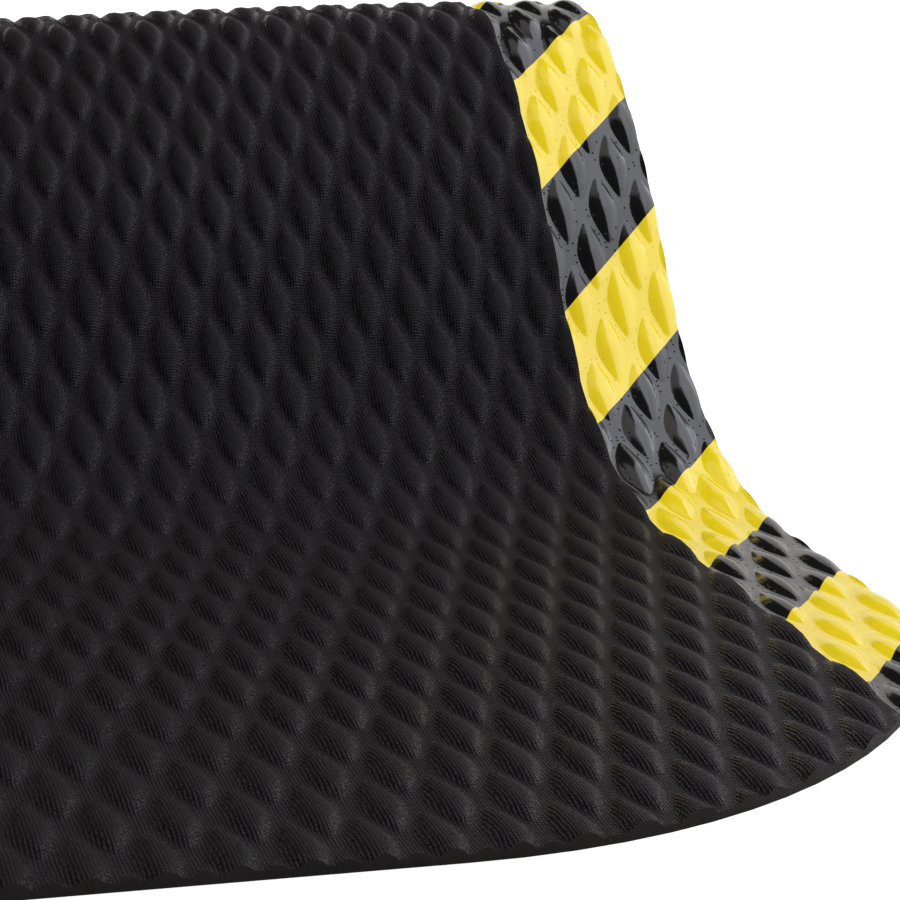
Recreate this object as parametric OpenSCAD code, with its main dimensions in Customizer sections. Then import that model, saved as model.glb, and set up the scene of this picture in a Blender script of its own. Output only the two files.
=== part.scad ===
// Hazard-edged rubber floor mat, pushed up into one standing fold.
// X runs across the mat, +Y from its front end towards the back, and +Z up.
// The origin is on the floor, in the middle of the flat front of the mat.

/* [Sheet] */
// Width of the mat across both striped edges
mat_w = 610; // [420:5:760]
// Length of the sheet along its surface, on the centre line
mat_len = 915; // [900:5:1300]
// Thickness of the sheet between the pillows
land_t = 2.5; // [1.5:0.1:6]
// Radius of the rounded front corners, seen from above
corner_r = 241; // [232:1:600]
// Width of each rounded corner, from the side edge to the straight front
corner_run = 219; // [100:1:225]

/* [Pillows] */
// Height of a pillow above the land round it
pillow_h = 2.5; // [1:0.1:4]
// Distance between pillows in one row across the mat
pitch_across = 19.05; // [16:0.05:40]
// Distance between pillows in one file along the mat
pitch_along = 45; // [36:1:80]
// Distance from the front end to the first row of pillows
first_row = 10; // [1:1:21]
// Distance from the centre line to the first file of pillows on its right
first_file = 5; // [0:0.5:19]

/* [Striped edges] */
// Width of the striped band along each side
band_w = 50.8; // [20:0.2:100]
// Thickness of the coloured facing of a band
facing_t = 0.8; // [0.4:0.1:1.2]
// Length of one stripe along the edge
stripe_len = 59; // [30:1:90]
// Angle between a stripe and a line straight across the mat
stripe_slant = 45; // [20:1:55]
// Distance from the front end to the first yellow stripe, at the inner edge
first_stripe = 93; // [60:1:160]

/* [Fold] */
// Length of the flat front of the mat, on the centre line
front_flat = 244; // [180:1:270]
// Radius where the flat front turns up into the fold
valley_r = 159; // [110:1:180]
// Steepest slope of the fold at the left edge
rise_left = 32.5; // [31:0.5:40]
// Steepest slope of the fold at the right edge
rise_right = 51.5; // [42:0.5:54]
// Length of sheet that keeps the steepest slope
rise_run = 38; // [10:1:50]
// Radius where the slope eases under the crest
shoulder_r = 384; // [280:1:400]
// Slope just under the crest at the left edge
brow_left = 2; // [1:0.5:12]
// Slope just under the crest at the right edge
brow_right = 36; // [33:0.5:45]
// Radius of the crest
crest_r = 71; // [50:1:85]
// Slope of the back of the fold
fall_angle = 62; // [56:1:68]
// Radius where the back of the fold turns onto the floor
heel_r = 80; // [50:1:100]

/* [Hidden] */
column_step = pitch_across / 2;
row_step = pitch_along / 2;
half_w = mat_w / 2;
band_x = half_w - band_w;
// Half the width of the straight front, between the two rounded corners
front_half = half_w - corner_run;
stripe_period = 2 * stripe_len;
slant_rise = tan(stripe_slant);
last_stripe = floor((mat_len - first_stripe) / stripe_period);
// Number of panels across the smooth underside, between the two bands
underside_panels = 6;
// How far a cutter reaches past the face that it cuts
past = 1;
// Side of the thin posts that span the cutters, and their reach past the sheet
post_w = 0.01;
post_reach = 3;
// Patches of a stripe cutter across the band and along the sheet, and of one corner's cutter
patches_across = 2;
patches_along = 3;
corner_patches = 12;

// Slope of the fold and of its brow, at distance x from the centre line
function between(left, right, x) = (left + right) / 2 + (right - left) * x / mat_w;
function rise(x) = between(rise_left, rise_right, x);
function brow(x) = between(brow_left, brow_right, x);

// A stretch of the folded section: [length, slope at its start, slope at its end]
function arc(radius, from, to) = [radius * abs(to - from) * PI / 180, from, to];
function climb(radius, from, to) = radius * abs(cos(to) - cos(from));

// Height of the crest's back end, where the straight fall starts
function fall_top(x) = climb(valley_r, 0, rise(x)) + rise_run * sin(rise(x))
    + climb(shoulder_r, rise(x), brow(x)) + climb(crest_r, brow(x), 0)
    - climb(crest_r, 0, fall_angle);
function fall_run(x) = (fall_top(x) - climb(heel_r, 0, fall_angle)) / sin(fall_angle);

// The folded section at x, from the front end to the back end
function section(x) = [
    [front_flat, 0, 0],
    arc(valley_r, 0, rise(x)),
    [rise_run, rise(x), rise(x)],
    arc(shoulder_r, rise(x), brow(x)),
    arc(crest_r, brow(x), -fall_angle),
    [fall_run(x), -fall_angle, -fall_angle],
    arc(heel_r, -fall_angle, 0),
    [mat_len, 0, 0]
];

// One step along a stretch, from a place [y, z, slope]
function step_on(place, stretch, run) =
    let (turn = (stretch[2] - stretch[1]) * run / stretch[0], slope = place[2] + turn)
    turn == 0
        ? [place[0] + run * cos(slope), place[1] + run * sin(slope), slope]
        : let (radius = run / turn * 180 / PI)
            [
                place[0] + radius * (sin(slope) - sin(place[2])),
                place[1] - radius * (cos(slope) - cos(place[2])),
                slope
            ];

// Place on a section at a run s from the front end
function walk(stretches, s, place, i = 0) =
    s <= stretches[i][0] || i == len(stretches) - 1
        ? step_on(place, stretches[i], s)
        : walk(stretches, s - stretches[i][0], step_on(place, stretches[i], stretches[i][0]), i + 1);
function on_floor(stretches, s) = walk(stretches, s, [-front_flat / 2, 0, 0]);

// Point at a height above the underside, square to the sheet
function raised(x, place, height) =
    [x, place[0] - height * sin(place[2]), place[1] + height * cos(place[2])];

// Pillow height: full at a pillow's middle, nothing where the lands cross.
// Middles lie where column plus row is even, crossings where it is odd.
function relief(column, row) =
    let (sum = column + row)
    pillow_h * (1 - abs(sum - 2 * round(sum / 2)));

// Lattice lines between two ends, with both ends
function lines(from, to, step, phase) =
    let (first = ceil((from - phase) / step + 0.01), last = floor((to - phase) / step - 0.01))
    [from, for (k = [first:last]) phase + k * step, to];
rows = lines(-past, mat_len, row_step, first_row);
left_columns = lines(-half_w, -band_x, column_step, first_file);
field_columns = lines(-band_x, band_x, column_step, first_file);
right_columns = lines(band_x, half_w, column_step, first_file);

// Files of points along the sheet, one over each column, at a height above the underside
function smooth_files(columns, height) = [
    for (x = columns)
        let (stretches = section(x))
        [for (s = rows) raised(x, on_floor(stretches, s), height)]
];
function pillow_files(columns) = [
    for (x = columns)
        let (stretches = section(x))
        [
            for (s = rows)
                raised(
                    x,
                    on_floor(stretches, s),
                    land_t + relief((x - first_file) / column_step, (s - first_row) / row_step)
                )
        ]
];

// True where a cell is parted from its near left corner to its far right one.
// Between neighbouring lattice lines that is the way the land runs.
function parts_rising(x0, x1, s0, s1) =
    let (
        column = floor(((x0 + x1) / 2 - first_file) / column_step),
        row = floor(((s0 + s1) / 2 - first_row) / row_step)
    )
    abs(column + row) % 2 == 1;

// Solid between upper files and lower files of points.
// Each lower file stands under the upper file that keep names.
module shell_between(columns, upper, lower, keep) {
    n = len(rows);
    up = len(columns) - 1;
    low = len(keep) - 1;
    base = (up + 1) * n;
    points = [for (file = upper) each file, for (file = lower) each file];
    top_faces = [
        for (i = [0:up - 1], j = [0:n - 2])
            let (a = i * n + j, b = a + 1, c = a + n, d = c + 1)
            each parts_rising(columns[i], columns[i + 1], rows[j], rows[j + 1])
                ? [[a, b, d], [a, d, c]]
                : [[a, b, c], [b, d, c]]
    ];
    low_faces = [
        for (i = [0:low - 1], j = [0:n - 2])
            let (a = base + i * n + j, b = a + 1, c = a + n, d = c + 1)
            each parts_rising(columns[keep[i]], columns[keep[i + 1]], rows[j], rows[j + 1])
                ? [[a, d, b], [a, c, d]]
                : [[a, c, b], [b, c, d]]
    ];
    side_faces = [
        for (j = [0:n - 2])
            let (a = j, b = base + j, c = up * n + j, d = base + low * n + j)
            each [[a, b, b + 1], [a, b + 1, a + 1], [c, d + 1, d], [c, c + 1, d + 1]]
    ];
    end_faces = [
        for (k = [0:low - 1])
            let (a = base + k * n, b = a + n, far = n - 1)
            each [
                for (i = [keep[k]:keep[k + 1] - 1])
                    each [[a, i * n, (i + 1) * n], [a + far, (i + 1) * n + far, i * n + far]],
                [a, keep[k + 1] * n, b],
                [a + far, b + far, keep[k + 1] * n + far]
            ]
    ];
    polyhedron(points, concat(top_faces, low_faces, side_faces, end_faces));
}

// A thin post square to the sheet, right through it
module post(x, s) {
    place = on_floor(section(x), s);
    translate([x, place[0], place[1]])
        rotate([place[2], 0, 0])
            translate([0, 0, -post_reach])
                cube([post_w, post_w, land_t + pillow_h + 2 * post_reach]);
}

// Distance along the sheet from the front line to the edge: nothing on the straight front,
// and the depth of the rounding on a corner
function cut_back(x) =
    let (out = max(0, abs(x) - front_half))
    corner_r - sqrt(corner_r * corner_r - out * out);

// Everything in front of the edge, spanned by posts on the edge and in front of the sheet.
// The uncut sheet starts a little in front of the edge, so that the cut runs clean.
module beyond_front() {
    turn = asin((corner_run + past) / corner_r);
    right = [
        for (k = [0:corner_patches])
            front_half + corner_r * sin(turn * k / corner_patches)
    ];
    left = [for (k = [corner_patches:-1:0]) -right[k]];
    places = concat(left, right);
    for (k = [1:len(places) - 1])
        hull()
            for (x = [places[k - 1], places[k]]) {
                post(x, -2 * past);
                post(x, cut_back(x));
            }
}

// The black rubber sheet, smooth and thinner under the two bands
module mat_sheet() {
    columns = concat([-half_w, -band_x], field_columns, [band_x, half_w]);
    field_end = len(field_columns) + 1;
    panel = (field_end - 1) / underside_panels;
    keep = [0, for (k = [0:underside_panels]) 2 + round(k * panel), field_end + 2];
    upper = concat(
        smooth_files([-half_w, -band_x], land_t - facing_t),
        pillow_files(field_columns),
        smooth_files([band_x, half_w], land_t - facing_t)
    );
    color("#1d1c1f")
        difference() {
            shell_between(columns, upper, smooth_files([for (k = keep) columns[k]], 0), keep);
            beyond_front();
        }
}

// The whole facing of one band with its pillows, before it is parted into stripes
module facing(columns) {
    keep = [0, len(columns) - 1];
    difference() {
        shell_between(
            columns,
            pillow_files(columns),
            smooth_files([for (k = keep) columns[k]], land_t - facing_t),
            keep
        );
        beyond_front();
    }
}

// One stripe's cutter, spanned by posts on its slanted outline
module stripe_cutter(side, start) {
    across = (band_w + 2 * past) / patches_across;
    along = stripe_len / patches_along;
    for (i = [0:patches_across - 1], j = [0:patches_along - 1])
        hull()
            for (di = [0, 1], dj = [0, 1]) {
                out = (i + di) * across - past;
                post(side * (band_x + out), start + out * slant_rise + (j + dj) * along);
            }
}
module yellow_cutters(side) {
    for (k = [0:last_stripe])
        stripe_cutter(side, first_stripe + k * stripe_period);
}

module yellow_stripes(side, columns) {
    color("#ebd61e")
        intersection() {
            facing(columns);
            yellow_cutters(side);
        }
}
module black_stripes(side, columns) {
    color("#0f0f11")
        difference() {
            facing(columns);
            yellow_cutters(side);
        }
}

mat_sheet();
yellow_stripes(1, right_columns);  // right_yellow_stripes
black_stripes(1, right_columns);  // right_black_stripes
yellow_stripes(-1, left_columns);  // left_yellow_stripes
black_stripes(-1, left_columns);  // left_black_stripes
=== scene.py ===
# %% [markdown]
# # A rubber floor mat with hazard edges, pushed up into one fold
#
# The mat is one moulded sheet of black rubber. Rows of diamond pillows cover its
# top, the field between the edges carries the print of a woven cloth, and a
# glossy black and yellow stripe runs along each side. Somebody has pushed the mat
# together, so that it stands up in one fold behind a flat front.
#
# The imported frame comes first. It holds the plain solids that every piece below
# is made to fit.

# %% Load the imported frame
import math

import bmesh
import bpy
import numpy as np
from mathutils import Matrix, Quaternion, Vector
from mathutils.geometry import delaunay_2d_cdt


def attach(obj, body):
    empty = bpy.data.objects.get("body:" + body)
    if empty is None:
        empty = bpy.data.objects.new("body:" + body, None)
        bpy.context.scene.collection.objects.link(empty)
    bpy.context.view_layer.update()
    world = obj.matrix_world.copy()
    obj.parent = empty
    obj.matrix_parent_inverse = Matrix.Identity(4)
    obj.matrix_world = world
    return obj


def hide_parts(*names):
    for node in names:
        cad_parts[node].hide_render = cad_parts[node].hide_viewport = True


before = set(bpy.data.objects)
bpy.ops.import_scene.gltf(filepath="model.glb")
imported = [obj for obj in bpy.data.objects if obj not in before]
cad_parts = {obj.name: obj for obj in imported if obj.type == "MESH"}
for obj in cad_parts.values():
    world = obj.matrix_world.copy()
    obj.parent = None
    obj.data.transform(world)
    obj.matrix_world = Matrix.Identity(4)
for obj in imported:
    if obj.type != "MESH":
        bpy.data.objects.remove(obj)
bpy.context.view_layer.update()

# %% [markdown]
# ## The mat's own sizes
#
# A mat like this is ordered by a few sizes: how wide, how long, how thick, how far
# apart the pillows are. The same few sizes drive everything here, written in
# metres. `x` runs across the mat and `s` along it, as if it still lay flat, and
# both stay useful after it is folded: they are the mat's own map of itself.

# %% Sizes of the flat mat
MAT_W = 0.610
MAT_LEN = 0.915
LAND_T = 0.0025
CORNER_R = 0.241
CORNER_RUN = 0.219
BAND_W = 0.0508
FACING_T = 0.0008
HALF_W = MAT_W / 2
BAND_X = HALF_W - BAND_W
RECESS_T = LAND_T - FACING_T
print("field", round(2 * BAND_X, 4), "m wide between two bands of", BAND_W)

# %% Sizes of the pillows and stripes
PILLOW_H = 0.0025
COLUMN_STEP = 0.01905 / 2
ROW_STEP = 0.045 / 2
FIRST_ROW = 0.010
FIRST_FILE = 0.005
STRIPE_LEN = 0.059
FIRST_STRIPE = 0.093
STRIPE_COUNT = 1 + int((MAT_LEN - FIRST_STRIPE) / (2 * STRIPE_LEN))
print("stripes along one side:", STRIPE_COUNT, "yellow")

# %% Sizes of the fold
FRONT_FLAT = 0.244
VALLEY_R = 0.159
RISE_LEFT, RISE_RIGHT = 32.5, 51.5
RISE_RUN = 0.038
SHOULDER_R = 0.384
BROW_LEFT, BROW_RIGHT = 2.0, 36.0
CREST_R = 0.071
FALL_ANGLE = 62.0
HEEL_R = 0.080
print("the fold rises at", RISE_LEFT, "degrees on the left and", RISE_RIGHT, "on the right")

# %% [markdown]
# ## The fold
#
# Rubber bends into even arcs. Seen from the side, the mat is a chain of straight
# runs and arcs: the flat front, a valley, a straight rise, a slow shoulder, a
# tight crest, a straight fall, a heel, and the flat end behind. The right side
# stands steeper than the left, so the slopes change evenly across the mat.
#
# One function walks that chain for thousands of points at once. It could be done
# by bending a finished mesh with modifiers, but a formula gives the same fold that
# the solids have, to a fraction of a millimetre.

# %% Arcs of the fold
def between(left, right, x):
    """Angle in radians at x: it changes evenly from the left edge to the right."""
    return np.radians((left + right) / 2 + (right - left) * x / MAT_W)


def climb(radius, low, high):
    """Height won on an arc: its radius times the difference of the end slopes' cosines."""
    return radius * np.abs(np.cos(high) - np.cos(low))


def fold_chain(x):
    """Length, first slope and last slope of each stretch of the fold at x.

    The straight fall is as long as brings the crest back to the floor: the height
    left above the heel, divided by the sine of the fall's angle.
    """
    none = np.zeros_like(x)
    rise = between(RISE_LEFT, RISE_RIGHT, x)
    brow = between(BROW_LEFT, BROW_RIGHT, x)
    fall = none + math.radians(FALL_ANGLE)
    crest = (climb(VALLEY_R, none, rise) + RISE_RUN * np.sin(rise)
             + climb(SHOULDER_R, rise, brow) + climb(CREST_R, brow, none))
    drop = crest - climb(CREST_R, none, fall) - climb(HEEL_R, none, fall)
    return [
        (none + FRONT_FLAT, none, none),
        (VALLEY_R * rise, none, rise),
        (none + RISE_RUN, rise, rise),
        (SHOULDER_R * np.abs(rise - brow), rise, brow),
        (CREST_R * (brow + fall), brow, -fall),
        (drop / np.sin(fall), -fall, -fall),
        (HEEL_R * fall, -fall, none),
        (none + 2 * MAT_LEN, none, none),
    ]


def lay_on_fold(x, s, h):
    """Points of the folded mat at x, after a run s from the front, h above the underside.

    Each stretch adds its chord: the run on it, times the sinc of half its turn, in
    the direction of its mean slope. The height then stands square to the sheet.
    """
    y = np.full_like(x, -FRONT_FLAT / 2)
    z = np.zeros_like(x)
    slope = np.zeros_like(x)
    left = s.copy()
    for length, start, end in fold_chain(x):
        run = np.clip(left, 0, length)
        after = start + (end - start) * run / length
        mean = (start + after) / 2
        chord = run * np.sinc((after - start) / 2 / np.pi)
        y += chord * np.cos(mean)
        z += chord * np.sin(mean)
        slope = np.where(left > 0, after, slope)
        left = left - length
    return np.stack([x, y - h * np.sin(slope), z + h * np.cos(slope)], axis=-1)


probe = lay_on_fold(np.array([0.0]), np.array([FRONT_FLAT / 2]), np.array([0.0]))[0]
print("middle of the flat front lies at", np.round(probe, 6))

# %% [markdown]
# ## The pillows
#
# The mould has two sets of grooves that cross at a slant. What they leave between
# them are diamonds with two sharp tips along the mat and two blunt corners across
# it. Counted along the grooves, the diamonds sit at whole numbers, which makes
# them easy to write down: take the distance to the nearest whole number both ways,
# and the pillow is highest where both are nothing.
#
# The tips stay sharp and the blunt corners are round, so the two distances are
# added with a different power on each side. On the field the cloth spanned the
# grooves, so the pillows are broad there and their feet are soft. On the glossy
# stripes the domes are rounder, with a crisp foot.

# %% Height of a pillow
TIP_POWER = 5.0
CORNER_POWER = 2.3
FIELD_PILLOW = {"land_share": 0.07, "dome_power": 3.4, "softness": 0.08}
GLOSSY_PILLOW = {"land_share": 0.065, "dome_power": 2.0, "softness": 0.04}


def lattice_numbers(x, s):
    """Groove numbers of a point: half the sum and half the difference of file and row."""
    file = (x - FIRST_FILE) / COLUMN_STEP
    row = (s - FIRST_ROW) / ROW_STEP
    return (file + row) / 2, (file - row) / 2


def pillow_swell(x, s, land_share, dome_power, softness):
    """Share of the full pillow height, from 0 on the land to 1 on the middle.

    One minus the distance from the middle to the foot, raised to the dome's power.
    Where that passes nothing at the foot it is rounded off: half of the value plus
    the root of its square and the softness squared.
    """
    a, b = lattice_numbers(x, s)
    a = (a - np.round(a)) / (0.5 - land_share)
    b = (b - np.round(b)) / (0.5 - land_share)
    power = np.where(a * b < 0, TIP_POWER, CORNER_POWER)
    reach = (np.abs(a) ** power + np.abs(b) ** power) ** (1 / power)
    rest = 1 - reach ** dome_power
    return (rest + np.sqrt(rest ** 2 + softness ** 2)) / 2


for kind in (FIELD_PILLOW, GLOSSY_PILLOW):
    print("swell on a middle:", pillow_swell(np.array([FIRST_FILE]), np.array([FIRST_ROW]), **kind)[0])

# %% [markdown]
# ## A flat piece of the lattice
#
# A grid whose lines run with the grooves follows the pillows with few faces: the
# lines crowd together at the feet, where the rubber turns quickly, and spread out
# on the domes. The grid is then trimmed to a piece's outline with a straight knife,
# cut after cut, while it still lies flat. A round outline is a row of short cuts.

# %% Lattice grid trimmed to an outline
KNIFE_REACH = 1e-7
SAME_SPOT = 5e-6


def full_cell(half):
    """Grid lines of one pillow's cell, mirrored round its middle, without the last one."""
    half = np.array(half)
    return np.unique(np.concatenate([-half, half]))[:-1]


def cut_lattice(outline, half):
    """Flat triangles of the lattice inside a convex outline that runs anticlockwise.

    The points are every grid line's crossings. A cell goes when all its corners lie
    outside one edge of the outline, and the knife takes what still hangs over. Points
    that the cuts leave in the same spot are made one.
    """
    a, b = lattice_numbers(outline[:, 0], outline[:, 1])
    cell = full_cell(half)
    lines = [
        (np.arange(math.floor(k.min()), math.ceil(k.max()) + 1)[:, None] + cell).ravel()
        for k in (a, b)
    ]
    ga, gb = np.meshgrid(*lines, indexing="ij")
    x = FIRST_FILE + COLUMN_STEP * (ga + gb)
    s = FIRST_ROW + ROW_STEP * (ga - gb)
    flat = np.stack([x.ravel(), s.ravel()], axis=-1)
    corner = np.arange(flat.shape[0]).reshape(ga.shape)
    quads = np.stack([corner[:-1, :-1], corner[:-1, 1:], corner[1:, 1:], corner[1:, :-1]], axis=-1)
    quads = quads.reshape(-1, 4)
    edges = np.roll(outline, -1, axis=0) - outline
    inward = np.stack([-edges[:, 1], edges[:, 0]], axis=-1)
    inward /= np.linalg.norm(inward, axis=1)[:, None]
    for start, normal in zip(outline, inward):
        inside = (flat - start) @ normal > 0
        quads = quads[inside[quads].any(axis=1)]
    used, quads = np.unique(quads, return_inverse=True)
    sheet = bpy.data.meshes.new("lattice_blank")
    sheet.from_pydata(np.c_[flat[used], np.zeros(len(used))].tolist(), [], quads.reshape(-1, 4).tolist())
    work = bmesh.new()
    work.from_mesh(sheet)
    for start, normal in zip(outline, inward):
        bmesh.ops.bisect_plane(
            work, geom=work.verts[:] + work.edges[:] + work.faces[:], dist=KNIFE_REACH,
            plane_co=(start[0], start[1], 0), plane_no=(-normal[0], -normal[1], 0), clear_outer=True,
        )
    bmesh.ops.remove_doubles(work, verts=work.verts[:], dist=SAME_SPOT)
    bmesh.ops.triangulate(work, faces=work.faces[:])
    work.to_mesh(sheet)
    work.free()
    points = np.empty(len(sheet.vertices) * 3)
    sheet.vertices.foreach_get("co", points)
    triangles = np.empty(len(sheet.loops), dtype=np.int64)
    sheet.loops.foreach_get("vertex_index", triangles)
    bpy.data.meshes.remove(sheet)
    return points.reshape(-1, 3)[:, :2], triangles.reshape(-1, 3)


# %% Ring round a flat piece
INSIDE_ONLY = 1
NO_GAP = 1e-9


def ring_of(flat, triangles):
    """Corner numbers round a convex piece, in anticlockwise order.

    Edges that belong to one triangle only lie on the rim, and a convex rim is in
    order when its points are sorted by their direction from the middle.
    """
    sides = np.concatenate([triangles[:, [0, 1]], triangles[:, [1, 2]], triangles[:, [2, 0]]])
    pairs, count = np.unique(np.sort(sides, axis=1), axis=0, return_counts=True)
    rim = np.unique(pairs[count == 1])
    away = flat[rim] - flat[rim].mean(axis=0)
    return rim[np.argsort(np.arctan2(away[:, 1], away[:, 0]))]


def ring_wall(upper, lower):
    """Triangles of the wall between two closed rings with the same count of corners."""
    up, low = np.roll(upper, -1), np.roll(lower, -1)
    return np.concatenate([np.stack([upper, lower, low], -1), np.stack([upper, low, up], -1)])


def fill_ring(ring, inner):
    """Triangles inside a ring of flat points, with loose points spread over its inside.

    Rounding leaves a straight side a hair hollow, and slivers fill the hollow from
    outside. They are peeled off: a triangle goes as long as one of its edges has no
    neighbour and isn't a step along the ring.
    """
    points = np.concatenate([ring, inner])
    count = len(ring)
    places = [Vector(p) for p in points.tolist()]
    made = delaunay_2d_cdt(places, [], [list(range(count))], INSIDE_ONLY, NO_GAP, True)
    source = np.array([ids[0] for ids in made[3]])
    triangles = source[np.array([list(face) for face in made[2]])]
    while True:
        pairs = np.sort(triangles[:, [[0, 1], [1, 2], [2, 0]]], axis=-1)
        step = pairs[..., 1] - pairs[..., 0]
        on_ring = (pairs[..., 1] < count) & ((step == 1) | (step == count - 1))
        keys = pairs[..., 0] * len(points) + pairs[..., 1]
        _, which, times = np.unique(keys.ravel(), return_inverse=True, return_counts=True)
        alone = times[which.ravel()].reshape(keys.shape) == 1
        loose = (alone & ~on_ring).any(axis=1)
        if not loose.any():
            return triangles
        triangles = triangles[~loose]


def spread_inside(outline, step_x, step_s, margin):
    """Grid points at least a margin inside a convex outline that runs anticlockwise."""
    low, high = outline.min(axis=0), outline.max(axis=0)
    gx, gs = np.meshgrid(np.arange(low[0], high[0], step_x) + step_x / 2,
                         np.arange(low[1], high[1], step_s) + step_s / 2)
    spots = np.stack([gx.ravel(), gs.ravel()], axis=-1)
    edges = np.roll(outline, -1, axis=0) - outline
    inward = np.stack([-edges[:, 1], edges[:, 0]], axis=-1)
    inward /= np.linalg.norm(inward, axis=1)[:, None]
    for start, normal in zip(outline, inward):
        spots = spots[(spots - start) @ normal > margin]
    return spots


# %% [markdown]
# ## From flat points to a finished piece
#
# Every piece is first a list of flat points with a height, and triangles between
# them. This helper bends the points onto the fold, makes the mesh, turns all faces
# outwards, keeps the cut edges crisp, and writes the flat map `x`, `s` into the
# UVs, in metres. The patterns in the rubber can then follow the sheet over its
# fold, at their real size.

# %% Helper that makes a piece
CRISP_ANGLE = 48.0


def make_piece(name, flat, height, triangles, finish_of=None):
    """Object of a closed shell, with its flat map as UVs and its height on the pillows stored."""
    points = lay_on_fold(flat[:, 0], flat[:, 1], height)
    mesh = bpy.data.meshes.new(name)
    mesh.from_pydata(points.tolist(), [], triangles.tolist())
    if finish_of is not None:
        mesh.polygons.foreach_set("material_index", finish_of.astype(np.int32))
    swell = mesh.attributes.new("swell", "FLOAT", "POINT")
    swell.data.foreach_set("value", np.clip((height - LAND_T) / PILLOW_H, 0, 1).astype(np.float32))
    corners = np.empty(len(mesh.loops), dtype=np.int32)
    mesh.loops.foreach_get("vertex_index", corners)
    flat_map = mesh.uv_layers.new(name="flat_map")
    flat_map.data.foreach_set("uv", flat[corners].astype(np.float32).ravel())
    work = bmesh.new()
    work.from_mesh(mesh)
    open_edges = sum(len(edge.link_faces) != 2 for edge in work.edges)
    bmesh.ops.recalc_face_normals(work, faces=work.faces[:])
    work.to_mesh(mesh)
    work.free()
    mesh.polygons.foreach_set("use_smooth", np.ones(len(mesh.polygons), dtype=bool))
    mesh.set_sharp_from_angle(angle=math.radians(CRISP_ANGLE))
    piece = bpy.data.objects.new(name, mesh)
    bpy.context.scene.collection.objects.link(piece)
    print(name, len(mesh.polygons), "triangles,", open_edges, "open edges")
    return piece


# %% [markdown]
# ## The black sheet
#
# The sheet is one closed body. Its field carries the pillows, and along each side
# it steps down by the thickness of the glossy facing that lies there. The front
# is straight in the middle and has two wide round corners. The parts are made from
# the top down: the field, the step round it, the two recesses, the outer edge, and
# the smooth underside.

# %% Rounded front corners and outline of the field
FRONT_HALF = HALF_W - CORNER_RUN


def cut_back(x):
    """Depth of the corner's rounding at x: the radius less the root of what is left of it."""
    out = np.maximum(0, np.abs(x) - FRONT_HALF)
    return CORNER_R - np.sqrt(CORNER_R ** 2 - out ** 2)


def corner_places(start, end, count):
    """Distances from the centre line, evenly spread along the round corner."""
    first, last = (math.asin((place - FRONT_HALF) / CORNER_R) for place in (start, end))
    return FRONT_HALF + CORNER_R * np.sin(np.linspace(first, last, count))


def mat_outline_over(xs):
    """Outline along the front, over the points xs from left to right, to the rear end."""
    front = np.stack([xs, cut_back(xs)], axis=-1)
    return np.concatenate([front, [[xs[-1], MAT_LEN], [xs[0], MAT_LEN]]])


field_corner = corner_places(FRONT_HALF, BAND_X, count=13)
field_corner[-1] = BAND_X
field_outline = mat_outline_over(np.concatenate([-field_corner[::-1], field_corner]))
FIELD_LINES = (0.10, 0.26, 0.365, 0.43, 0.5)
field_flat, field_faces = cut_lattice(field_outline, FIELD_LINES)
field_ring = ring_of(field_flat, field_faces)
print("field:", len(field_faces), "triangles, ring of", len(field_ring))

# %% Step down from the field to the recesses
flats = [field_flat]
heights = [LAND_T + PILLOW_H * pillow_swell(field_flat[:, 0], field_flat[:, 1], **FIELD_PILLOW)]
faces = [field_faces]
count = len(field_flat)
step_flat = field_flat[field_ring]
step_foot = count + np.arange(len(field_ring))
flats.append(step_flat)
heights.append(np.full(len(field_ring), RECESS_T))
faces.append(ring_wall(field_ring, step_foot))
count += len(field_ring)

# %% Recesses under the glossy facings
ON_LINE = 1e-6
RECESS_COLUMNS = corner_places(BAND_X, HALF_W, count=8)
RECESS_COLUMNS[[0, -1]] = BAND_X, HALF_W
at_ends = np.abs(step_flat[:, 0]) < BAND_X - ON_LINE
outer_flat = [step_flat[at_ends]]
outer_ids = [step_foot[at_ends]]
for side in (-1, 1):
    at_side = np.abs(step_flat[:, 0] - side * BAND_X) < ON_LINE
    inner = step_foot[at_side][np.argsort(step_flat[at_side, 1])]
    along = np.sort(step_flat[at_side, 1])
    share = (along - along[0]) / (along[-1] - along[0])
    front = cut_back(RECESS_COLUMNS[1:])
    s = front + share[:, None] * (MAT_LEN - front)
    x = np.broadcast_to(side * RECESS_COLUMNS[1:], s.shape)
    strip = np.stack([x, s], axis=-1)
    ids = count + np.arange(s.size).reshape(s.shape)
    grid = np.concatenate([inner[:, None], ids], axis=1)
    a, b, c, d = grid[:-1, :-1].ravel(), grid[:-1, 1:].ravel(), grid[1:, 1:].ravel(), grid[1:, :-1].ravel()
    faces.append(np.concatenate([np.stack([a, b, c], -1), np.stack([a, c, d], -1)]))
    flats.append(strip.reshape(-1, 2))
    heights.append(np.full(s.size, RECESS_T))
    inner_column = np.stack([np.full(len(along), side * BAND_X), along], axis=-1)
    whole = np.concatenate([inner_column[:, None], strip], axis=1)
    rim = np.ones(grid.shape, dtype=bool)
    rim[1:-1, :-1] = False
    outer_flat.append(whole[rim])
    outer_ids.append(grid[rim])
    count += s.size
print("recesses: two grids of", grid.shape, "corners")

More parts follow.
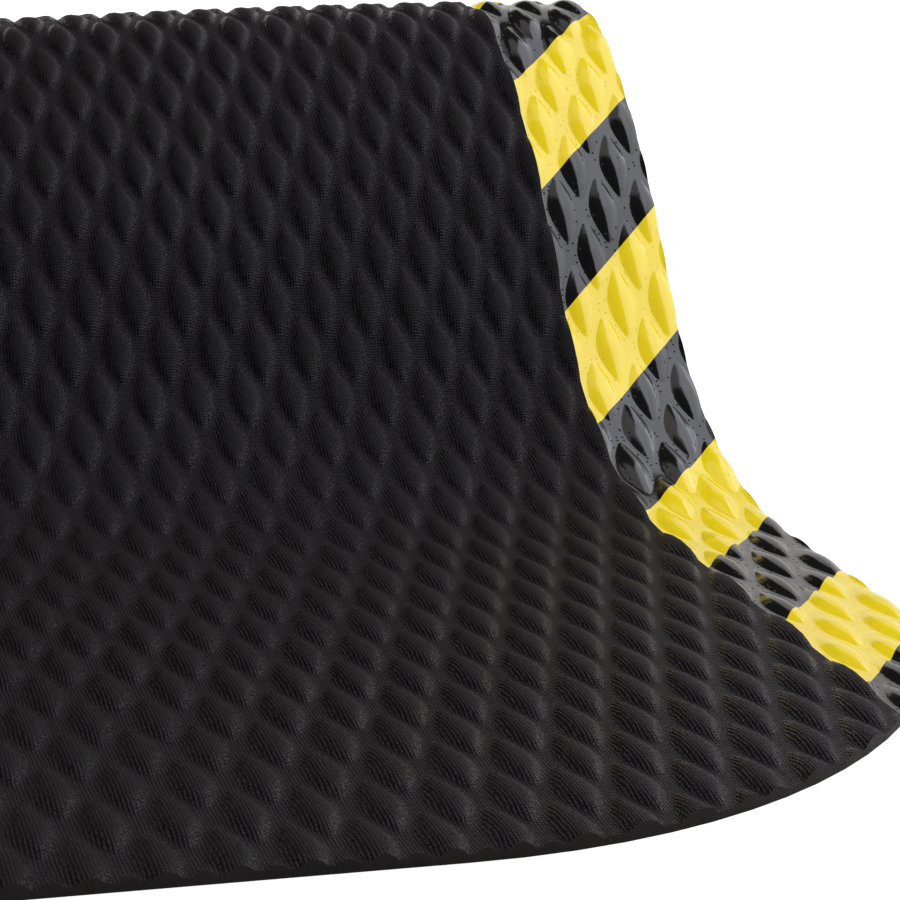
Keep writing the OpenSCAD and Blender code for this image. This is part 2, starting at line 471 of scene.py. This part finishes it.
# %% Outer edge and underside
edge_flat = np.concatenate(outer_flat)
edge_ids = np.concatenate(outer_ids)
away = edge_flat - np.array([0, MAT_LEN / 2])
order = np.argsort(np.arctan2(away[:, 1], away[:, 0]))
edge_flat, edge_ids = edge_flat[order], edge_ids[order]
under_ids = count + np.arange(len(edge_ids))
faces.append(ring_wall(edge_ids, under_ids))
front_xs = np.concatenate([-RECESS_COLUMNS[:0:-1], field_outline[:-2, 0], RECESS_COLUMNS[1:]])
inner_flat = spread_inside(mat_outline_over(front_xs), step_x=0.030, step_s=0.008, margin=0.004)
under_faces = fill_ring(edge_flat, inner_flat)
faces.append(under_faces + count)
flats += [edge_flat, inner_flat]
heights.append(np.zeros(len(edge_flat) + len(inner_flat)))
finish_of = np.concatenate([np.full(len(part), 0 if i == 0 else 1) for i, part in enumerate(faces)])
sheet = make_piece(
    "mat_rubber", np.concatenate(flats), np.concatenate(heights), np.concatenate(faces), finish_of
)

# %% [markdown]
# ## The glossy stripes
#
# The stripes are a thin facing, moulded with the same pillows but without the
# cloth's print. Each stripe slants back as it goes outwards. A stripe is a closed
# tile: the lattice on top, a wall all round, and a smooth underside that lies in
# the sheet's recess. The yellow tiles of one side are one piece, and the black
# ones another.

# %% Tiles of one side
TILE_LINES = (0.0, 0.06, 0.14, 0.23, 0.32, 0.385, 0.42, 0.45, 0.5)


def clip_outline(outline, start, inward):
    """Part of a convex outline on the inner side of a line: corners inside, and crossings."""
    side = (outline - start) @ inward
    following, side_after = np.roll(outline, -1, axis=0), np.roll(side, -1)
    share = np.divide(side, side - side_after, out=np.zeros_like(side), where=side != side_after)
    crossing = outline + share[:, None] * (following - outline)
    both = np.stack([outline, crossing], axis=1).reshape(-1, 2)
    keep = np.stack([side >= 0, side * side_after < 0], axis=1).ravel()
    return both[keep]


def stripe_outline(side, start, end):
    """Outline of the stripe between two runs along the inner edge, anticlockwise.

    A line through the inner edge at a run r goes back by as much as it goes out.
    """
    xs = RECESS_COLUMNS if side > 0 else -RECESS_COLUMNS[::-1]
    outline = mat_outline_over(xs)
    back = np.array([-side, 1.0]) / math.sqrt(2)
    outline = clip_outline(outline, np.array([side * BAND_X, start]), back)
    if len(outline):
        outline = clip_outline(outline, np.array([side * BAND_X, end]), -back)
    return outline


def closed_tile(outline):
    """Flat points, heights and triangles of one tile of the facing."""
    top, top_faces = cut_lattice(outline, TILE_LINES)
    ring = ring_of(top, top_faces)
    foot = len(top) + np.arange(len(ring))
    inner = spread_inside(outline, step_x=0.012, step_s=0.006, margin=0.002)
    under = fill_ring(top[ring], inner) + len(top)
    height = LAND_T + PILLOW_H * pillow_swell(top[:, 0], top[:, 1], **GLOSSY_PILLOW)
    flat = np.concatenate([top, top[ring], inner])
    height = np.concatenate([height, np.full(len(ring) + len(inner), RECESS_T)])
    return flat, height, np.concatenate([top_faces, ring_wall(ring, foot), under])


def stripes(name, side, spans):
    """One piece of several tiles, given the runs where each starts and ends."""
    flats, heights, faces, count = [], [], [], 0
    for start, end in spans:
        outline = stripe_outline(side, start, end)
        if len(outline) < 3:
            continue
        flat, height, tile_faces = closed_tile(outline)
        flats.append(flat)
        heights.append(height)
        faces.append(tile_faces + count)
        count += len(flat)
    return make_piece(name, np.concatenate(flats), np.concatenate(heights), np.concatenate(faces))


# %% Stripes on both sides
def stripe_edge(number):
    """Run along the inner edge where a stripe starts: the first one's, and a length for each before."""
    return FIRST_STRIPE + number * STRIPE_LEN


yellow_spans = [(stripe_edge(2 * k), stripe_edge(2 * k + 1)) for k in range(STRIPE_COUNT)]
black_spans = [(-MAT_LEN, FIRST_STRIPE)] + [(end, end + STRIPE_LEN) for _, end in yellow_spans]
right_yellow = stripes("right_yellow_facing", 1, yellow_spans)
right_black = stripes("right_black_facing", 1, black_spans)
left_yellow = stripes("left_yellow_facing", -1, yellow_spans)
left_black = stripes("left_black_facing", -1, black_spans)

# %% [markdown]
# ## Which solid each piece stands for
#
# Each piece takes the place of one solid of the frame, which stays hidden below it
# for collisions, and names the finish that it wears.

# %% Hand the pieces to the frame
for piece, node, slot in (
    (sheet, "mat_sheet", "field_rubber"),
    (right_yellow, "right_yellow_stripes", "yellow_facing"),
    (right_black, "right_black_stripes", "black_facing"),
    (left_yellow, "left_yellow_stripes", "yellow_facing"),
    (left_black, "left_black_stripes", "black_facing"),
):
    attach(piece, "root")
    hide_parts(node)

# %% [markdown]
# ## Small helpers for the finishes
#
# A finish is a net of nodes. These helpers keep each net short: one adds a node
# and fills its sockets with numbers or with other nodes' outputs, and one does
# sums.

# %% Node helpers
def new_finish(name):
    """Empty material with one Principled shader on its output."""
    finish = bpy.data.materials.new(name)
    finish.use_nodes = True
    net = finish.node_tree
    net.nodes.clear()
    skin = net.nodes.new("ShaderNodeBsdfPrincipled")
    out = net.nodes.new("ShaderNodeOutputMaterial")
    net.links.new(skin.outputs[0], out.inputs["Surface"])
    return finish, net, skin


def add(net, kind, sockets, **choices):
    """Node of a kind, with its choices set and its sockets filled or linked."""
    made = net.nodes.new(kind)
    for key, value in choices.items():
        setattr(made, key, value)
    for key, value in sockets.items():
        if isinstance(value, bpy.types.NodeSocket):
            net.links.new(value, made.inputs[key])
        else:
            made.inputs[key].default_value = value
    return made


def sums(net, operation, *values):
    """Output of one Math node on the given values."""
    return add(net, "ShaderNodeMath", dict(enumerate(values)), operation=operation).outputs[0]


def ramp(net, value, low, high, start=0.0, end=1.0):
    """Value between low and high, spread evenly from start to end and held beyond."""
    made = add(net, "ShaderNodeMapRange", {0: value, 1: low, 2: high, 3: start, 4: end})
    return made.outputs[0]


def blend_colour(net, share, first, second):
    """Colour that goes from the first to the second with the share."""
    made = net.nodes.new("ShaderNodeMix")
    made.data_type = "RGBA"
    for key, value in ((0, share), (6, first), (7, second)):
        if isinstance(value, bpy.types.NodeSocket):
            net.links.new(value, made.inputs[key])
        else:
            made.inputs[key].default_value = value
    return made.outputs[2]


def map_of(net):
    """Flat map of the mat: the vector of x and s, and each of them alone."""
    flat = add(net, "ShaderNodeUVMap", {}, uv_map="flat_map").outputs[0]
    parts = add(net, "ShaderNodeSeparateXYZ", {0: flat})
    return flat, parts.outputs[0], parts.outputs[1]


def specks(net, flat, per_metre, share, size):
    """Mask of scattered round specks: 1 on a speck, 0 off it.

    Cells are scattered over the map, a share of them is picked by its own random
    number, and a speck is what lies nearer to the cell's point than its size.
    """
    cells = add(net, "ShaderNodeTexVoronoi", {"Vector": flat, "Scale": per_metre}, voronoi_dimensions="2D")
    near = ramp(net, cells.outputs["Distance"], size, size * 0.7)
    luck = add(net, "ShaderNodeSeparateColor", {0: cells.outputs["Color"]}).outputs[0]
    picked = sums(net, "LESS_THAN", luck, share)
    return sums(net, "MULTIPLY", near, picked)


# %% [markdown]
# ## Woven black rubber
#
# The field was pressed against a cloth, so the rubber keeps its weave: fine
# threads both ways, about a millimetre apart, with a slanting twill line between
# them. It is matt, nearly black, a little uneven, and carries a few specks of dust.
# The threads are sine waves on the flat map, turned into a bump of about a quarter
# of a millimetre, and also added to the colour, where their pale and dark lines are
# painted glints and thread shade. The cloth pressed less hard in some places, so the
# print fades there, and on top of the pillows the rubber is rubbed duller, while its
# colour is darkened there as painted shade.

# %% Woven rubber finish
WARP_PITCH = 0.00109
WEFT_PITCH = 0.00125
WEAVE_DEPTH = 0.00026
GRAIN_DEPTH = 0.00006
THREAD_WANDER = 0.0016
THREAD_SHARE, TWILL_SHARE = 0.37, 0.26
RUBBED_ROUGHNESS = 0.36
TOP_PAINTED_SHADE = 0.22
FIELD_DARK, FIELD_PALE = (0.0008, 0.0006, 0.0009, 1), (0.0082, 0.0066, 0.0088, 1)
DUST_COLOUR = (0.14, 0.13, 0.12, 1)

woven, net, skin = new_finish("woven_black_rubber")
flat, x, s = map_of(net)
wander = add(net, "ShaderNodeTexNoise", {"Vector": flat, "Scale": 60.0, "Detail": 2.0}).outputs["Fac"]
drift = sums(net, "MULTIPLY", wander, THREAD_WANDER)
warp_turn = sums(net, "MULTIPLY", sums(net, "ADD", x, drift), 2 * math.pi / WARP_PITCH)
weft_turn = sums(net, "MULTIPLY", sums(net, "ADD", s, drift), 2 * math.pi / WEFT_PITCH)
threads = sums(net, "ADD", sums(net, "SINE", warp_turn), sums(net, "SINE", weft_turn))
twill = sums(net, "SINE", sums(net, "SUBTRACT", warp_turn, weft_turn))
threads = sums(net, "MULTIPLY", threads, THREAD_SHARE)
twill = sums(net, "MULTIPLY", twill, TWILL_SHARE)
cloth = sums(net, "ADD", threads, twill)
print_share = add(net, "ShaderNodeTexNoise", {"Vector": flat, "Scale": 14.0, "Detail": 3.0}).outputs["Fac"]
cloth = sums(net, "MULTIPLY", cloth, ramp(net, print_share, 0.3, 0.7, start=0.5, end=1.0))
fuzz = add(net, "ShaderNodeTexNoise", {"Vector": flat, "Scale": 1100.0, "Detail": 1.0}).outputs["Fac"]
cloth = sums(net, "MULTIPLY", cloth, ramp(net, fuzz, 0.35, 0.65, start=0.2, end=2.1))
swell = add(net, "ShaderNodeAttribute", {}, attribute_name="swell").outputs["Fac"]
cloth = sums(net, "MULTIPLY", cloth, ramp(net, swell, 0.2, 0.95, start=1.0, end=0.65))
mottle = add(net, "ShaderNodeTexNoise", {"Vector": flat, "Scale": 420.0, "Detail": 3.0}).outputs["Fac"]
dust = specks(net, flat, per_metre=170.0, share=0.05, size=0.05)
shade = ramp(net, mottle, 0.3, 0.7, start=0.2, end=0.8)
# The threads' pale and dark lines added to the colour are painted glints and thread shade; the bump
# carries their real relief.
shade = sums(net, "ADD", shade, sums(net, "MULTIPLY", cloth, 0.6))
# Colour darkened on top of the pillows: painted shade.
shade = sums(net, "SUBTRACT", shade, ramp(net, swell, 0.3, 0.9, end=TOP_PAINTED_SHADE))
colour = blend_colour(net, shade, FIELD_DARK, FIELD_PALE)
colour = blend_colour(net, sums(net, "MULTIPLY", dust, 0.4), colour, DUST_COLOUR)
net.links.new(colour, skin.inputs["Base Color"])
rough = ramp(net, swell, 0.0, 0.15, start=0.56, end=0.27)
rough = sums(net, "ADD", rough, ramp(net, swell, 0.50, 0.90, end=RUBBED_ROUGHNESS))
rough = sums(net, "ADD", ramp(net, mottle, 0.3, 0.7, start=-0.05, end=0.05), rough)
net.links.new(rough, skin.inputs["Roughness"])
skin.inputs["Specular IOR Level"].default_value = 0.22
skin.inputs["Sheen Weight"].default_value = 0.032
skin.inputs["Sheen Roughness"].default_value = 0.45
skin.inputs["Sheen Tint"].default_value = (1.0, 0.52, 0.60, 1)
relief = add(net, "ShaderNodeBump", {"Strength": 1.0, "Distance": WEAVE_DEPTH, "Height": cloth})
grain = add(net, "ShaderNodeBump", {"Strength": 0.6, "Distance": GRAIN_DEPTH, "Height": mottle,
                                    "Normal": relief.outputs[0]})
net.links.new(grain.outputs[0], skin.inputs["Normal"])

# %% [markdown]
# ## Plain rubber on the cut edges and the underside
#
# Where the mat was cut to size and on its back there is no cloth print. The rubber
# is plain, black, with a fine grain, and slightly brown where the knife went.

# %% Plain rubber finish
CUT_BLACK, CUT_BROWN = (0.0026, 0.0024, 0.0025, 1), (0.0060, 0.0046, 0.0042, 1)
CUT_GRAIN_DEPTH = 0.00008

plain, net, skin = new_finish("plain_cut_rubber")
place = add(net, "ShaderNodeTexCoord", {}).outputs["Object"]
grainy = add(net, "ShaderNodeTexNoise", {"Vector": place, "Scale": 900.0, "Detail": 4.0}).outputs["Fac"]
cloudy = add(net, "ShaderNodeTexNoise", {"Vector": place, "Scale": 30.0, "Detail": 3.0}).outputs["Fac"]
colour = blend_colour(net, ramp(net, cloudy, 0.35, 0.65), CUT_BLACK, CUT_BROWN)
net.links.new(colour, skin.inputs["Base Color"])
net.links.new(ramp(net, grainy, 0.3, 0.7, start=0.48, end=0.62), skin.inputs["Roughness"])
skin.inputs["Specular IOR Level"].default_value = 0.15
grain = add(net, "ShaderNodeBump", {"Strength": 0.5, "Distance": CUT_GRAIN_DEPTH, "Height": grainy})
net.links.new(grain.outputs[0], skin.inputs["Normal"])

# %% [markdown]
# ## Glossy facings
#
# The stripes are smooth and shiny. The rubber skinned over small bubbles there, so
# tiny pinholes sit on the flat lands and round the feet of the pillows; their darker
# colour is painted shade in the holes. A pale line along the inner edge is a painted
# highlight. One recipe serves both colours: the colour, how it varies, and how shiny
# it is.

# %% Glossy facing finish
GLOSS_LEVEL = 1.0
RIPPLE_DEPTH = 0.00012
PIT_DEPTH = 0.0002
RIM_START, RIM_END = BAND_X + 0.0002, BAND_X + 0.0006


def glossy_finish(name, colour, deeper, pit_shade_colour, rim_highlight_colour, roughness, pit_size):
    """Shiny moulded skin: pinholes on the lands darkened as painted shade, a faint unevenness, and a
    painted highlight along the inner rim.
    """
    finish, net, skin = new_finish(name)
    flat, x, _ = map_of(net)
    swell = add(net, "ShaderNodeAttribute", {}, attribute_name="swell").outputs["Fac"]
    cloudy = add(net, "ShaderNodeTexNoise", {"Vector": flat, "Scale": 45.0, "Detail": 3.0}).outputs["Fac"]
    low = ramp(net, swell, 0.55, 0.0)
    pits = sums(net, "MULTIPLY", specks(net, flat, per_metre=330.0, share=0.34, size=pit_size), low)
    stray = specks(net, flat, per_metre=120.0, share=0.12, size=pit_size * 0.35)
    pits = sums(net, "MAXIMUM", pits, stray)
    tone = blend_colour(net, ramp(net, cloudy, 0.3, 0.7), colour, deeper)
    # Pinholes darkened in colour: painted shade in the holes.
    tone = blend_colour(net, sums(net, "MULTIPLY", pits, 0.8), tone, pit_shade_colour)
    # A pale line along the inner edge of the band: painted highlight.
    rim = ramp(net, sums(net, "ABSOLUTE", x), RIM_END, RIM_START)
    tone = blend_colour(net, sums(net, "MULTIPLY", rim, 0.7), tone, rim_highlight_colour)
    net.links.new(tone, skin.inputs["Base Color"])
    rough = ramp(net, cloudy, 0.3, 0.7, start=roughness, end=roughness + 0.06)
    net.links.new(sums(net, "MAXIMUM", rough, sums(net, "MULTIPLY", pits, 0.85)), skin.inputs["Roughness"])
    ripple = add(net, "ShaderNodeTexNoise", {"Vector": flat, "Scale": 260.0, "Detail": 2.0}).outputs["Fac"]
    wavy = add(net, "ShaderNodeBump", {"Strength": 0.35, "Distance": RIPPLE_DEPTH, "Height": ripple})
    holes = add(net, "ShaderNodeBump", {"Strength": 1.0, "Distance": PIT_DEPTH, "Height": pits,
                                        "Normal": wavy.outputs[0]}, invert=True)
    net.links.new(holes.outputs[0], skin.inputs["Normal"])
    skin.inputs["Specular IOR Level"].default_value = GLOSS_LEVEL
    return finish


# %% Both glossy colours
glossy_black = glossy_finish(
    "glossy_black_facing",
    colour=(0.0042, 0.0040, 0.0045, 1),
    deeper=(0.0060, 0.0055, 0.0056, 1),
    pit_shade_colour=(0.0010, 0.0010, 0.0010, 1),
    rim_highlight_colour=(0.10, 0.10, 0.105, 1),
    roughness=0.11,
    pit_size=0.17,
)
glossy_yellow = glossy_finish(
    "glossy_yellow_facing",
    colour=(0.98, 0.760, 0.003, 1),
    deeper=(0.95, 0.710, 0.002, 1),
    pit_shade_colour=(0.45, 0.33, 0.03, 1),
    rim_highlight_colour=(0.92, 0.84, 0.30, 1),
    roughness=0.13,
    pit_size=0.09,
)

# %% Put the finishes on
sheet.data.materials.append(woven)
sheet.data.materials.append(plain)
for piece in (right_yellow, left_yellow):
    piece.data.materials.append(glossy_yellow)
for piece in (right_black, left_black):
    piece.data.materials.append(glossy_black)
for piece in (sheet, right_yellow, right_black, left_yellow, left_black):
    print(piece.name, "wears", [finish.name for finish in piece.data.materials])

# %% [markdown]
# ## Floor, light and camera
#
# The mat lies on a white floor in front of a white backdrop. A softbox does two
# things to rubber: it lights it evenly, and it shows in its shine. Here each one
# does only one of the two. The key softbox on the right lights. The others show in
# the shine only, so their places decide what the glossy lands mirror: a wide one
# high on the right with a brighter middle, a dim one over the crest, and a small one
# low on the right for the feet of the pillows. The flat lands in front mirror the
# pale backdrop instead. The rest of the room is dim in a mirror, so the left flanks
# of the pillows stay deep black. Each softbox hangs at a distance of its own,
# because two in one place hide each other in the shine.

# %% Floor and backdrop
FLOOR_REACH = 6.0
BACKDROP_Y = 5.0
BACKDROP_TOP = 1.9
WALL_TOP = 5.2
MIRRORED_TINT = (1.0, 0.88, 0.83, 1)


def stage_plane(name, corners, seen, mirrored):
    """Flat stage piece, with the glow that the camera sees and the one that shiny rubber mirrors."""
    mesh = bpy.data.meshes.new(name)
    mesh.from_pydata(corners, [], [(0, 1, 2, 3)])
    plane = bpy.data.objects.new(name, mesh)
    bpy.context.scene.collection.objects.link(plane)
    finish, net, skin = new_finish(name + "_white")
    rays = add(net, "ShaderNodeLightPath", {})
    shiny = sums(net, "MAXIMUM", rays.outputs["Is Glossy Ray"], rays.outputs["Is Transmission Ray"])
    glow = sums(net, "ADD", sums(net, "MULTIPLY", rays.outputs["Is Camera Ray"], seen),
                sums(net, "MULTIPLY", shiny, mirrored))
    skin.inputs["Base Color"].default_value = (0.80, 0.80, 0.80, 1)
    skin.inputs["Roughness"].default_value = 0.9
    skin.inputs["Specular IOR Level"].default_value = 0.0
    tint = blend_colour(net, rays.outputs["Is Glossy Ray"], (1, 1, 1, 1), MIRRORED_TINT)
    net.links.new(tint, skin.inputs["Emission Color"])
    net.links.new(glow, skin.inputs["Emission Strength"])
    mesh.materials.append(finish)
    print(name, "mirrors at", mirrored)


def upright(left, bottom, top):
    """Corners of an upright stage piece that runs from its left side to the floor's right end."""
    spots = (left, bottom), (FLOOR_REACH, bottom), (FLOOR_REACH, top), (left, top)
    return [(x, BACKDROP_Y, z) for x, z in spots]


floor_corners = [(x * FLOOR_REACH, y * FLOOR_REACH, 0) for x, y in ((-1, -1), (1, -1), (1, 1), (-1, 1))]
stage_plane("floor", floor_corners, seen=0.55, mirrored=0.40)
stage_plane("backdrop", upright(-1.5, 0, BACKDROP_TOP), seen=1.0, mirrored=0.27)
stage_plane("upper_wall", upright(1.5, BACKDROP_TOP, WALL_TOP), seen=1.0, mirrored=0.12)

# %% World
ROOM_SEEN = 1.0
ROOM_MIRRORED = 0.03
ROOM_LIGHT = 0.85

world = bpy.data.worlds.new("pale_room")
bpy.context.scene.world = world
world.use_nodes = True
net = world.node_tree
net.nodes.clear()
rays = add(net, "ShaderNodeLightPath", {})
level = ramp(net, rays.outputs["Is Camera Ray"], 0.0, 1.0, start=ROOM_MIRRORED, end=ROOM_SEEN)
level = sums(net, "MAXIMUM", level, sums(net, "MULTIPLY", rays.outputs["Is Diffuse Ray"], ROOM_LIGHT))
glow = add(net, "ShaderNodeBackground", {"Color": (1, 1, 1, 1), "Strength": level})
net.links.new(glow.outputs[0], add(net, "ShaderNodeOutputWorld", {}).inputs["Surface"])
print("room light", ROOM_LIGHT, "and in the shine", ROOM_MIRRORED)

# %% Softboxes
SOFTBOX_ROLL = 38.0
SOFTBOX_CENTRE = Vector((0.0, 0.3, 0.1))
WHITE, COOL, WARM, VIOLET = (1.0, 1.0, 1.0), (0.90, 0.92, 1.0), (1.0, 0.94, 0.92), (0.92, 0.88, 1.0)


def hang_softbox(name, aim, distance, width, height, brightness, colour, mirrored):
    """Rectangular lamp that either lights the rubber evenly or only shows in its shine.

    It hangs in the direction of its aim from the fold, faces the fold, and is turned
    in its own plane by the roll. Its power is four times its brightness times its area.
    """
    shine = bpy.data.lights.new(name, "AREA")
    shine.shape = "RECTANGLE"
    shine.size, shine.size_y = width, height
    shine.energy = 4 * brightness * width * height
    shine.color = colour
    lamp = bpy.data.objects.new(name, shine)
    aim = Vector(aim).normalized()
    lamp.location = SOFTBOX_CENTRE + aim * distance
    roll = Quaternion((0, 0, 1), math.radians(SOFTBOX_ROLL))
    lamp.rotation_euler = (aim.to_track_quat("Z", "Y") @ roll).to_euler()
    lamp.visible_diffuse = not mirrored
    lamp.visible_glossy = mirrored
    bpy.context.scene.collection.objects.link(lamp)
    print(name, round(shine.energy), "W")


hang_softbox("key_softbox", aim=(0.78, -0.20, 0.59), distance=3.3, width=3.0, height=3.0,
             brightness=0.64, colour=WHITE, mirrored=False)
hang_softbox("wide_softbox", aim=(0.636, -0.09, 0.77), distance=3.0, width=3.6, height=4.2,
             brightness=1.15, colour=COOL, mirrored=True)
hang_softbox("bright_softbox", aim=(0.36, -0.10, 0.93), distance=2.8, width=1.3, height=1.1,
             brightness=0.25, colour=COOL, mirrored=True)
hang_softbox("dim_softbox", aim=(-0.07, 0.22, 0.97), distance=2.6, width=1.35, height=1.1,
             brightness=0.38, colour=WARM, mirrored=True)
hang_softbox("rim_softbox", aim=(0.88, 0.36, 0.28), distance=2.8, width=1.0, height=0.9,
             brightness=1.0, colour=VIOLET, mirrored=True)

# %% Camera
CAMERA_SPOT = (-0.1216, -0.6389, 0.2678)
HEADING, TILT, ROLL = 20.43, -15.69, 4.61
SENSOR_MM, FOCAL_MM = 36.0, 93.05
lens = bpy.data.cameras.new("camera")
lens.sensor_width = SENSOR_MM
lens.lens = FOCAL_MM
lens.clip_start = 0.01
camera = bpy.data.objects.new("camera", lens)
turn = (Matrix.Rotation(math.radians(-HEADING), 4, "Z") @ Matrix.Rotation(math.radians(90 + TILT), 4, "X")
        @ Matrix.Rotation(math.radians(ROLL), 4, "Z"))
camera.matrix_world = Matrix.Translation(CAMERA_SPOT) @ turn
bpy.context.scene.collection.objects.link(camera)
bpy.context.scene.camera = camera
print("camera right", [round(v, 4) for v in turn.col[0][:3]], "up", [round(v, 4) for v in turn.col[1][:3]])

# %% View settings
bpy.context.scene.view_settings.view_transform = "Standard"
